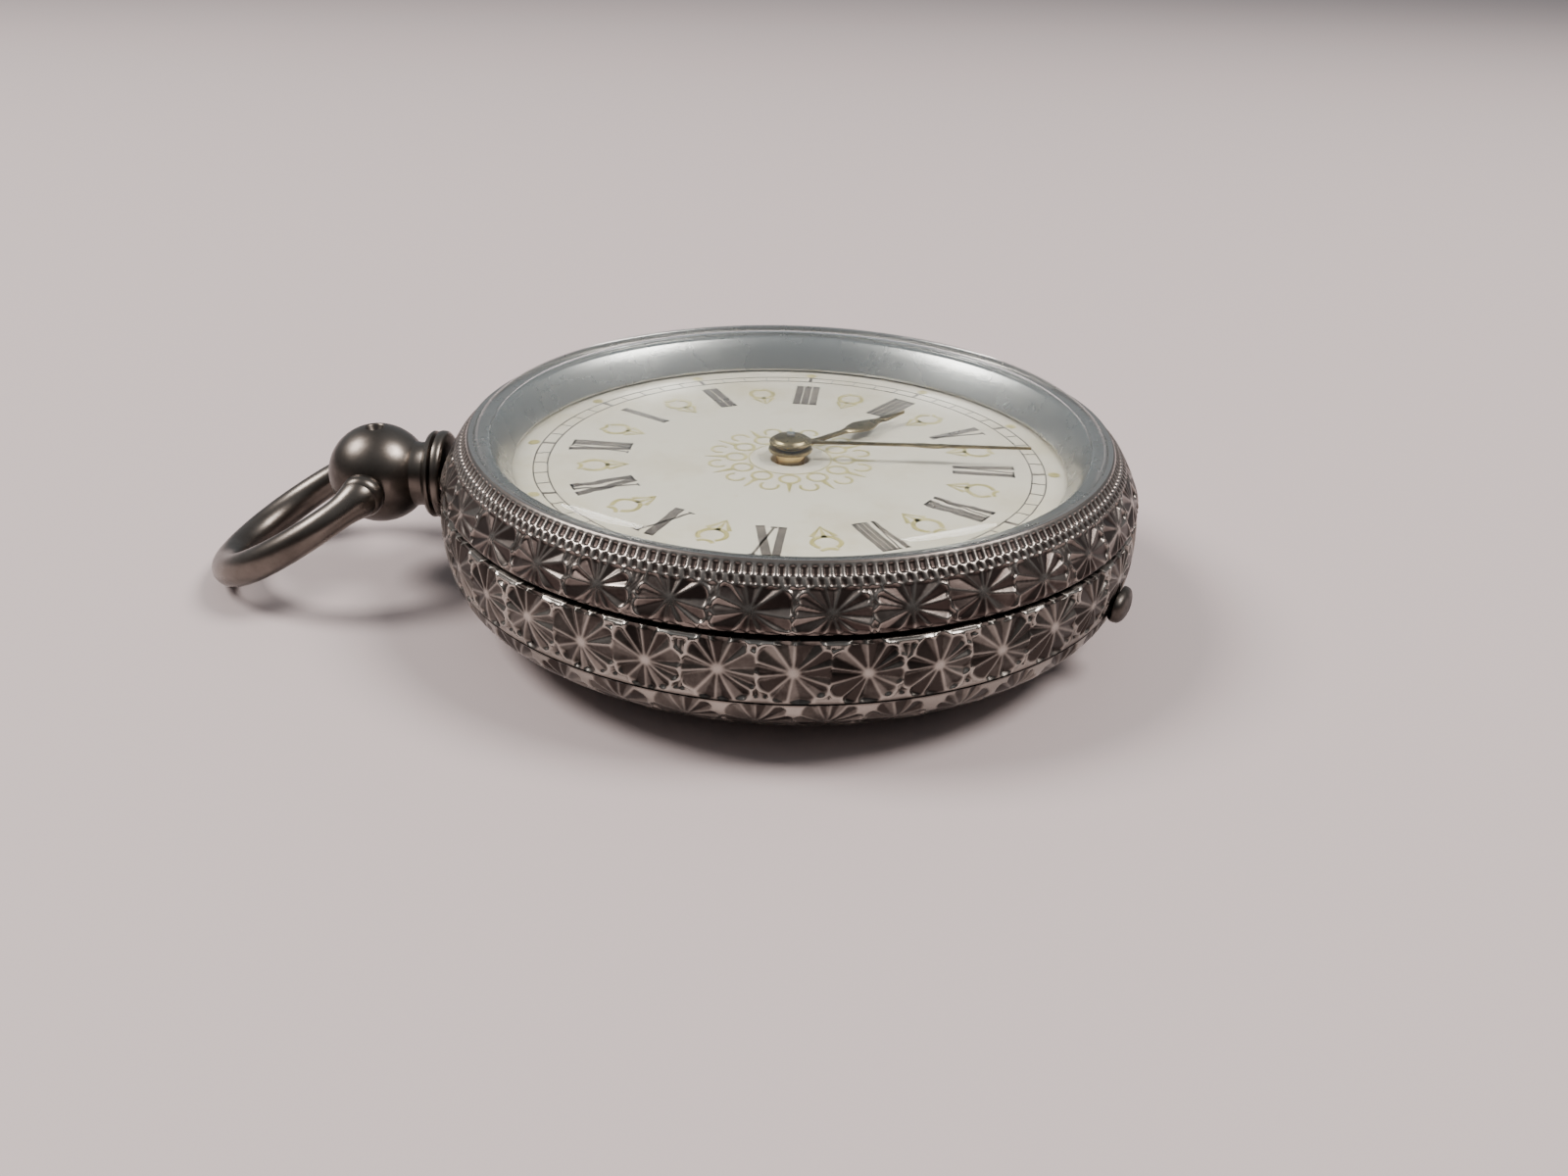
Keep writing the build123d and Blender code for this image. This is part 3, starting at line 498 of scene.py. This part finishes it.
# Band: one row of rosettes between the two seams.
band_points = [
    (17.32, 2.95), (17.36, 3.2), (17.47, 3.8), (17.5, 4.5),
    (17.48, 5.1), (17.42, 5.65), (17.38, 5.76), (17.26, 5.85),
]
band_inside = [
    (15.4, 5.85), (15.4, 6.5), (14.85, 6.5), (14.85, 5.7), (14.75, 5.7), (14.75, 4.6), (14.2, 4.6), (14.2, 3.6),
    (14.95, 3.6), (14.95, 2.95), (15.75, 2.95), (15.75, 2.6), (16.3, 2.6), (16.3, 2.95), (17.2, 2.95),
]


def band_depth(azimuth, z, along):
    depth, rho, groove_patina_and_facet_shade = rosettes(azimuth, z, BAND_ROSETTES, 4.45, 1.64, 0.12, CASE_R)
    fill = np.maximum(
        small_cuts(azimuth, z, BAND_ROSETTES, 4.8, 0.12, CASE_R, 1),
        small_cuts(azimuth, z, BAND_ROSETTES, 4.0, 0.12, CASE_R, -1),
    )
    free = smooth((rho - 1.05) / 0.06)
    depth = np.maximum(depth, np.maximum(0.9 * fill, 0.15) * free)
    # Darkening: patina in the cuts and the ground between rosettes, with the painted facet shade and highlight
    # of the rosettes.
    patina_and_painted_facet_shade = 0.04 + 0.9 * groove_patina_and_facet_shade + free * (0.22 + 0.6 * fill)
    return depth, np.clip(patina_and_painted_facet_shade, 0, 1)


shell(
    "band_engraved", curve_through(band_points, row_count(band_points)), band_inside, band_depth, ROUND,
    [
        (BEZEL_HINGE_Z, 0, 1.6, OWN_ROOM), (BEZEL_HINGE_Z, 1.6, 3.15, KNUCKLE_ROOM),
        (BACK_HINGE_Z, 0, 1.0, OWN_ROOM), (BACK_HINGE_Z, 1.0, 3.35, KNUCKLE_ROOM),
    ],
    BAND_MAT, "case", "case_middle", 0.25, 0.7, 0.7,
)

# Back cover: three rows of rosettes around a plain flat, and a turned border at the edge.
back_points = [
    (7.2, -0.45), (9.4, -0.36), (11.5, -0.2), (13.2, 0.04), (14.5, 0.33),
    (15.6, 0.79), (16.3, 1.27), (16.85, 1.79), (17.15, 2.3), (17.28, 2.85),
]
back_inside = [
    (16.37, 2.85), (16.37, 2.1), (16.2, 1.75), (15.5, 1.22), (14.4, 0.78), (13, 0.42), (11, 0.16),
    (7, -0.05), (0.02, -0.05), (0.02, -0.45), (3, -0.45), (6, -0.45), (7, -0.45),
]


def back_depth(azimuth, z, along):
    length = along.max()
    depth, rho, groove_patina_and_facet_shade = rosettes(azimuth, along, 36, length - 1.25, 1.5, 0.62, 17.0)
    second, rho2, groove2_patina_and_facet_shade = rosettes(azimuth, along, 32, length - 4.15, 1.5, 0.2, 15.2)
    third, _, groove3_patina_and_facet_shade = rosettes(azimuth, along, 26, length - 6.9, 1.35, 0.6, 12.4)
    fill = small_cuts(azimuth, along, 36, length - 2.2, 0.62, 17.0, -1)
    depth = np.maximum(depth, 0.8 * fill * smooth((rho - 1.0) / 0.06) * smooth((rho2 - 1.0) / 0.06))
    groove_patina_and_facet_shade = np.maximum(np.maximum(groove_patina_and_facet_shade, groove2_patina_and_facet_shade * (rho > 1)), groove3_patina_and_facet_shade)
    depth = np.maximum(np.maximum(depth, 0.7 * second * (rho > 1)), 0.6 * third)
    border = np.exp(-((along - 0.35) / 0.08) ** 2) * 0.5
    depth = np.maximum(depth, border)
    # Darkening: patina in the cuts and the border groove, with the painted facet shade and highlight of the
    # rosettes.
    patina_and_painted_facet_shade = 0.08 + 0.85 * groove_patina_and_facet_shade + 0.5 * border
    return depth, np.clip(patina_and_painted_facet_shade, 0, 1)


shell(
    "back_engraved", curve_through(back_points, row_count(back_points)), back_inside, back_depth, ROUND,
    [(BACK_HINGE_Z, 0, 2.1, KNUCKLE_ROOM), (BACK_HINGE_Z, 2.1, 3.3, OWN_ROOM)],
    BAND_MAT, "back_body", "back_cover", 0.15, 0.1, 0.7,
)

# Thumb lip on the back cover's edge.
u = np.linspace(0, np.pi, 20)
v = np.linspace(0, 2 * np.pi, 32, endpoint=False)
U, V = np.meshgrid(u, v, indexing="ij")
lx = 17.6 + 0.46 * np.abs(np.cos(V) * np.sin(U)) ** 0.8 * np.sign(np.cos(V) * np.sin(U))
ly = 1.15 * np.abs(np.sin(V) * np.sin(U)) ** 0.8 * np.sign(np.sin(V) * np.sin(U))
lz = 3.2 + 0.74 * np.abs(np.cos(U)) ** 0.8 * np.sign(np.cos(U))
lx = np.where(lz > 2.88, np.maximum(lx, np.sqrt(17.57**2 - ly**2)), lx)
lip_c, lip_s = math.cos(LIP_AZ), math.sin(LIP_AZ)
lip_pts = np.stack([lx * lip_c - ly * lip_s, lx * lip_s + ly * lip_c, lz], -1)
lip = grid_mesh("back_thumb_lip", lip_pts, False, True, 50)
dress(lip, LIP_MAT, "back_body", "silver", "back_lip")

# ------------------------------------------------------------------ crystal
def cap(edge_r, edge_z, top, count):
    """Outline of a shallow dome, from its edge to the axis."""
    sag = top - edge_z
    sphere = (edge_r**2 + sag**2) / (2 * sag)
    r = np.linspace(edge_r, 0.01, count)
    return list(zip(r, top - sphere + np.sqrt(sphere**2 - r**2)))


glass_outline = [(14.88, 8.4), (15.6, 8.4), (15.6, 8.66)]
shoulder = curve_through([(15.57, 8.7), (15.4, 8.98), (15.0, 9.26), (14.4, 9.46), (13.5, 9.6)], 22)
glass_outline += [tuple(p) for p in shoulder]
glass_outline += cap(13.4, 9.612, 10.0, 36)
glass_outline += cap(13.4, 9.15, 9.55, 36)[::-1]
inner_shoulder = curve_through([(13.5, 9.14), (14.1, 9.03), (14.6, 8.84), (14.86, 8.56)], 16)
glass_outline += [tuple(p) for p in inner_shoulder]
crystal = lathe("crystal_dome", glass_outline, 480, True, 60)
dress(crystal, MATS["glass"], "bezel_body", "glass", "crystal")

# ------------------------------------------------------------------ pendant, ball and bow
pendant_outline = [
    (1.2, 17.48), (1.95, 17.48), (2.1, 17.5), (2.22, 17.62), (2.25, 17.8), (2.22, 17.95),
    (2.02, 18.02), (2.0, 18.08), (2.2, 18.16), (2.22, 18.28), (2.12, 18.42), (1.8, 18.5),
    (1.66, 18.6), (1.62, 18.9), (1.66, 19.2), (1.75, 19.4), (1.2, 19.4),
]
pendant = lathe("pendant_neck", pendant_outline, 96, True, 40, axis="x")
for vertex in pendant.data.vertices:
    vertex.co.z += BALL[2] * MM
dress(pendant, MATS["dark_silver"], "case", "dark_silver", "pendant_tube")

ball_outline = [(BALL_R * math.sin(a), -BALL_R * math.cos(a)) for a in np.linspace(0.004, math.pi - 0.2, 60)]
ball_outline += [(0.47, 2.46), (0.42, 2.42), (0.36, 2.2), (0.25, 2.12), (0.01, 2.1)]
ball = lathe("pendant_sphere", ball_outline, 96, False, 40)
for vertex in ball.data.vertices:
    vertex.co += Vector(BALL) * MM
dress(ball, MATS["dark_silver"], "case", "dark_silver", "pendant_ball")

bow_c = math.sqrt(BOW_R**2 - BOW_HALF_GAP**2)
end_angle = math.atan2(BOW_HALF_GAP, bow_c)
path_angle = np.linspace(end_angle, 2 * math.pi - end_angle, 160)
ring_angle = np.linspace(0, 2 * math.pi, 40, endpoint=False)
P, Q = np.meshgrid(path_angle, ring_angle, indexing="ij")
tip = 0.5 - 0.5 * np.cos(P)
wire = 0.74 + 0.12 * smooth(tip)
near_end = np.minimum(P - end_angle, 2 * math.pi - end_angle - P) * BOW_R
wire = wire + 0.24 * np.exp(-((near_end - 0.2) / 0.8) ** 2)
bx = -bow_c + (BOW_R + wire * np.cos(Q)) * np.cos(P)
by = (BOW_R + wire * np.cos(Q)) * np.sin(P)
bz = wire * np.sin(Q)
bow_pts = np.stack([bx, by, bz], -1)
dist = np.linalg.norm(bow_pts, axis=-1, keepdims=True)
bow_pts = bow_pts * np.maximum(1, 2.6 / dist)
turn = Matrix.Rotation(-BOW_DROOP, 3, "Y")
bow_pts = bow_pts @ np.array(turn).T + np.array(BALL)
bow = grid_mesh("bow_ring_wire", bow_pts, False, True, 50)
dress(bow, MATS["dark_silver"], "bow_body", "dark_silver", "bow")
boss_outline = [
    (0.02, 2.2), (0.44, 2.2), (0.44, 2.56), (0.95, 2.66), (1.05, 2.82),
    (1.05, 3.25), (0.94, 3.5), (0.6, 3.68), (0.02, 3.74),
]
to_ball = Matrix.Translation((Vector(BALL) + Vector((0, 0, LIFT))) * MM)
for side, sign in (("near", -1), ("far", 1)):
    boss = lathe("bow_boss_" + side, boss_outline, 48, True, 40, lift=0)
    boss.data.transform(to_ball @ Matrix.Rotation(-sign * math.pi / 2, 4, "X"))
    dress(boss, MATS["dark_silver"], "bow_body", "dark_silver", *(["bow_pins"] if side == "far" else []))

# ------------------------------------------------------------------ dial
dial_outline = [(0.95, 6.1), (14.6, 6.1), (14.6, 6.42), (14.52, 6.52), (14.4, 6.58)]
dial_outline += [(r, DIAL_TOP) for r in np.linspace(14.2, 1.1, 30)] + [(1.0, 6.58), (0.95, 6.52)]
dial = lathe("dial_enamel", dial_outline, 240, True, 40)
dress(dial, MATS["enamel"], "case", "enamel", "dial")


def print_mesh(name, polygons, z, thickness=0.012):
    """Thin raised print: each polygon (mm, seen from above, anticlockwise) becomes a flat slab."""
    verts, faces = [], []
    z += LIFT
    for polygon in polygons:
        base = len(verts)
        n = len(polygon)
        area = sum(a[0] * b[1] - b[0] * a[1] for a, b in zip(polygon, polygon[1:] + polygon[:1]))
        if area < 0:
            polygon = polygon[::-1]
        verts += [(x * MM, y * MM, z * MM) for x, y in polygon]
        verts += [(x * MM, y * MM, (z + thickness) * MM) for x, y in polygon]
        faces.append(tuple(range(base + n, base + 2 * n)))
        faces += [(base + k, base + (k + 1) % n, base + n + (k + 1) % n, base + n + k) for k in range(n)]
    return flat_mesh(name, verts, faces)


def strip(a, b, width_a, width_b):
    """A straight bar from a to b, its width going from width_a to width_b."""
    dx, dy = b[0] - a[0], b[1] - a[1]
    length = math.hypot(dx, dy)
    nx, ny = -dy / length, dx / length
    return [
        (a[0] + nx * width_a / 2, a[1] + ny * width_a / 2), (a[0] - nx * width_a / 2, a[1] - ny * width_a / 2),
        (b[0] - nx * width_b / 2, b[1] - ny * width_b / 2), (b[0] + nx * width_b / 2, b[1] + ny * width_b / 2),
    ]


def arc_strip(centre, radius, width, start, end, steps):
    """A curved bar made of straight steps."""
    out = []
    for k in range(steps):
        a0 = start + (end - start) * k / steps
        a1 = start + (end - start) * (k + 1) / steps
        inner, outer = radius - width / 2, radius + width / 2
        out.append([
            (centre[0] + r * math.cos(a), centre[1] + r * math.sin(a))
            for r, a in ((inner, a0), (outer, a0), (outer, a1), (inner, a1))
        ])
    return out


LETTER = {"I": 0.50, "V": 1.1, "X": 1.1}  # letter widths, mm
HIGH = 3.1  # letter height, mm


def serif(start, end, sign, thick=0.1):
    """A thin bar across the outer (sign 1) or inner (sign -1) end of a letter."""
    level = sign * (HIGH - thick) / 2
    return strip((start, level), (end, level), thick, thick)


def letter(kind, at):
    half = HIGH / 2
    w = LETTER[kind]
    if kind == "I":
        return [
            strip((at, -half), (at, half), 0.43, 0.43),
            serif(at - 0.23, at + 0.23, 1), serif(at - 0.23, at + 0.23, -1),
        ]
    x0, x1 = at - w / 2 + 0.2, at + w / 2 - 0.16
    if kind == "V":
        return [
            strip((x0, half), (at + 0.03, -half), 0.46, 0.4),
            strip((x1, half), (at + 0.03, -half), 0.13, 0.13),
            serif(x0 - 0.24, x0 + 0.24, 1), serif(x1 - 0.18, x1 + 0.18, 1),
        ]
    return [
        strip((x0, half), (x1, -half), 0.48, 0.48),
        strip((x1, half), (x0, -half), 0.13, 0.13),
        serif(x0 - 0.24, x0 + 0.2, 1), serif(x1 - 0.18, x1 + 0.18, 1),
        serif(x0 - 0.18, x0 + 0.18, -1), serif(x1 - 0.2, x1 + 0.24, -1),
    ]


def numeral(text, azimuth, mid):
    """A Roman numeral at azimuth, its middle mid mm from the centre and its feet to the centre."""
    width = sum(LETTER[c] for c in text)
    squeeze = min(1, 1.4 / width)
    cursor = -width / 2
    out = []
    for c in text:
        out += letter(c, cursor + LETTER[c] / 2)
        cursor += LETTER[c]
    er = (math.cos(azimuth), math.sin(azimuth))
    right = (math.sin(azimuth), -math.cos(azimuth))
    return [
        [(er[0] * (mid + y) + right[0] * x * squeeze, er[1] * (mid + y) + right[1] * x * squeeze) for x, y in p]
        for p in out
    ]


black, gilt = [], []
HOURS = ["XII", "I", "II", "III", "IIII", "V", "VI", "VII", "VIII", "IX", "X", "XI"]
for hour, text in enumerate(HOURS):
    azimuth = math.pi - hour * math.pi / 6 - DIAL_TURN
    black += numeral(text, azimuth, 9.8)
for radius in (TRACK_IN, TRACK_OUT):
    black += arc_strip((0, 0), radius, 0.07, 0, 2 * math.pi, 240)
for minute in range(60):
    a = minute * math.pi / 30 - DIAL_TURN
    width = 0.2 if minute % 5 == 0 else 0.07
    c, s = math.cos(a), math.sin(a)
    black.append(strip((TRACK_IN * c, TRACK_IN * s), (TRACK_OUT * c, TRACK_OUT * s), width, width))
for hour in range(12):
    a = hour * math.pi / 6 - DIAL_TURN
    between = a + math.pi / 12
    c, s = math.cos(a), math.sin(a)
    gilt += arc_strip((13.32 * c, 13.32 * s), 0.16, 0.3, 0, 2 * math.pi, 10)
    bc, bs = math.cos(between), math.sin(between)
    centre = (9.9 * bc, 9.9 * bs)
    gilt += arc_strip(centre, 0.66, 0.24, between + 0.6, between + 2 * math.pi - 0.6, 22)
    gilt += arc_strip((11.0 * bc, 11.0 * bs), 0.46, 0.2, between + 2.2, between + 4.1, 12)
    for lean in (-0.5, 0.0, 0.5):
        foot = (8.2 * bc, 8.2 * bs)
        head = (8.2 * bc + 1.15 * math.cos(between + lean), 8.2 * bs + 1.15 * math.sin(between + lean))
        gilt.append(strip(foot, head, 0.05, 0.26))
for petal in range(12):
    a = petal * math.pi / 6
    c, s = math.cos(a), math.sin(a)
    gilt += arc_strip((2.75 * c, 2.75 * s), 0.5, 0.17, 0, 2 * math.pi, 16)
    a2 = a + math.pi / 12
    c2, s2 = math.cos(a2), math.sin(a2)
    gilt += arc_strip((3.75 * c2, 3.75 * s2), 0.44, 0.16, a2 - 2.2, a2 + 2.2, 14)
    gilt.append(strip((3.3 * c, 3.3 * s), (4.35 * c, 4.35 * s), 0.3, 0.08))
gilt += arc_strip((0, 0), 2.1, 0.08, 0, 2 * math.pi, 72)
dress(print_mesh("dial_numerals", black, DIAL_TOP), PRINT, "case", "enamel")
dress(print_mesh("dial_gilding", gilt, DIAL_TOP - 0.001, 0.008), GILT_PRINT, "case", "enamel")

# ------------------------------------------------------------------ hands
def blade(name, azimuth, z, thickness, stations):
    """A hand from (distance, half width) stations, with rounded upper edges."""
    d = np.array([s[0] for s in stations], float)
    w = np.array([s[1] for s in stations], float)
    x = np.linspace(d[0], d[-1], 140)
    half = np.interp(x, d, w)
    half = np.convolve(np.pad(half, 2, mode="edge"), np.ones(5) / 5, "valid")
    section = [(-1, 0), (-1, 0.45), (-0.7, 0.9), (0, 1.0), (0.7, 0.9), (1, 0.45), (1, 0)]
    pts = np.array([[(xx, hh * s, z + thickness * t) for s, t in section] for xx, hh in zip(x, half)])
    c, s = math.cos(azimuth), math.sin(azimuth)
    rot = np.array([[c, -s, 0], [s, c, 0], [0, 0, 1]])
    return grid_mesh(name, pts @ rot.T, False, True, 40)


hour_stations = [
    (0.9, 0.26), (1.6, 0.2), (2.4, 0.16), (3.6, 0.16), (4.1, 0.24), (4.6, 0.52), (5.2, 0.66),
    (5.7, 0.55), (6.3, 0.26), (6.6, 0.16), (6.9, 0.26), (7.3, 0.22), (8.0, 0.1), (8.6, 0.03),
]
hour = blade("hour_hand_gilt", HOUR_HAND_AZ, 7.05, 0.17, hour_stations)
dress(hour, MATS["gilt_hands"], "hour_hand_body", "gilt_hands", "hour_hand")
hour_boss_outline = [(0.76, 7.05), (1.1, 7.05), (1.12, 7.1), (1.1, 7.2), (1.0, 7.25), (0.76, 7.26)]
hour_boss = lathe("hour_hand_boss", hour_boss_outline, 72, True, 40)
dress(hour_boss, MATS["gilt_hands"], "hour_hand_body", "gilt_hands")
minute_stations = [
    (0.7, 0.2), (1.6, 0.12), (3.2, 0.1), (6.2, 0.1), (6.7, 0.2),
    (7.2, 0.27), (7.7, 0.2), (8.3, 0.1), (10.5, 0.07), (12.2, 0.03),
]
minute = blade("minute_hand_gilt", MINUTE_HAND_AZ, 7.45, 0.15, minute_stations)
dress(minute, MATS["gilt_hands"], "minute_hand_body", "gilt_hands", "minute_hand")
hub_outline = [(0.46, 7.45), (1.0, 7.45), (1.08, 7.5), (1.07, 7.57), (0.96, 7.62), (0.93, 7.64)]
hub_outline += [(0.92 * math.cos(a), 7.64 + 0.19 * math.sin(a)) for a in np.linspace(0.1, 1.2, 10)]
hub_outline += [(0.24, 7.83), (0.2, 7.84), (0.01, 7.84)]
hub = lathe("hand_hub_dome", hub_outline, 72, False, 40)
dress(hub, MATS["gilt_hands"], "minute_hand_body", "gilt_hands", "hand_hub")
square = [(0.19, 0.19), (-0.19, 0.19), (-0.19, -0.19), (0.19, -0.19)]
pin = print_mesh("hand_square_end", [square], 7.82, 0.16)
dress(pin, MATS["steel"], "minute_hand_body", "steel")

# ------------------------------------------------------------------ stage, light and camera
bpy.ops.mesh.primitive_plane_add(size=4, location=(0, 1.0, 0))
floor = bpy.context.object
floor.name = "studio_floor"
paper, tree, bsdf = material("paper_floor")
bsdf.inputs["Base Color"].default_value = (0.57, 0.475, 0.465, 1)
bsdf.inputs["Roughness"].default_value = 0.75
where = object_coordinates(tree)
fibres = noise(tree, where, 900, 4, 0.6)
bump(tree, bsdf, fibres, 0.08, 0.00008)
floor.data.materials.append(paper)

world = bpy.data.worlds.new("studio")
bpy.context.scene.world = world
world.use_nodes = True
background = next(n for n in world.node_tree.nodes if n.type == "BACKGROUND")
sky = world.node_tree
split = sky.nodes.new("ShaderNodeSeparateXYZ")
sky.links.new(sky.nodes.new("ShaderNodeTexCoord").outputs["Generated"], split.inputs[0])
lean_back = maths(sky, "MULTIPLY_ADD", split.outputs["Y"], 0.5)
lean_back.node.use_clamp = False
sky.links.new(split.outputs["Z"], lean_back.node.inputs[2])
room = mix_colour(sky, ramp(sky, lean_back, -0.2, 0.75, 0, 1), (0.09, 0.085, 0.08), (0.80, 0.86, 0.91))
sky.links.new(room, background.inputs["Color"])
background.inputs["Strength"].default_value = 0.42


def lamp(name, at, size, power, colour=(1, 0.97, 0.94)):
    data = bpy.data.lights.new(name, "AREA")
    data.shape = "DISK"
    data.size = size
    data.energy = power
    data.color = colour
    obj = bpy.data.objects.new(name, data)
    bpy.context.scene.collection.objects.link(obj)
    obj.location = at
    obj.rotation_euler = (Vector((0, 0, 0)) - Vector(at)).to_track_quat("-Z", "Y").to_euler()
    return obj


lamp("ceiling_left", (-0.42, 0.03, 0.5), 0.26, 4.4)
lamp("ceiling_right", (0.36, 0.0, 0.53), 0.26, 4.2)

camera_data = bpy.data.cameras.new("camera")
camera_data.sensor_width = 36
camera_data.lens = 29.25
camera_data.clip_start = 0.002
camera_data.clip_end = 10
camera = bpy.data.objects.new("camera", camera_data)
bpy.context.scene.collection.objects.link(camera)
camera.matrix_world = (
    Matrix.Translation((-0.00011, -0.06072, 0.0314))
    @ Matrix.Rotation(math.radians(62.377), 4, "X")
    @ Matrix.Rotation(math.radians(1.767), 4, "Z")
)
bpy.context.scene.camera = camera
bpy.context.scene.view_settings.view_transform = "AgX"
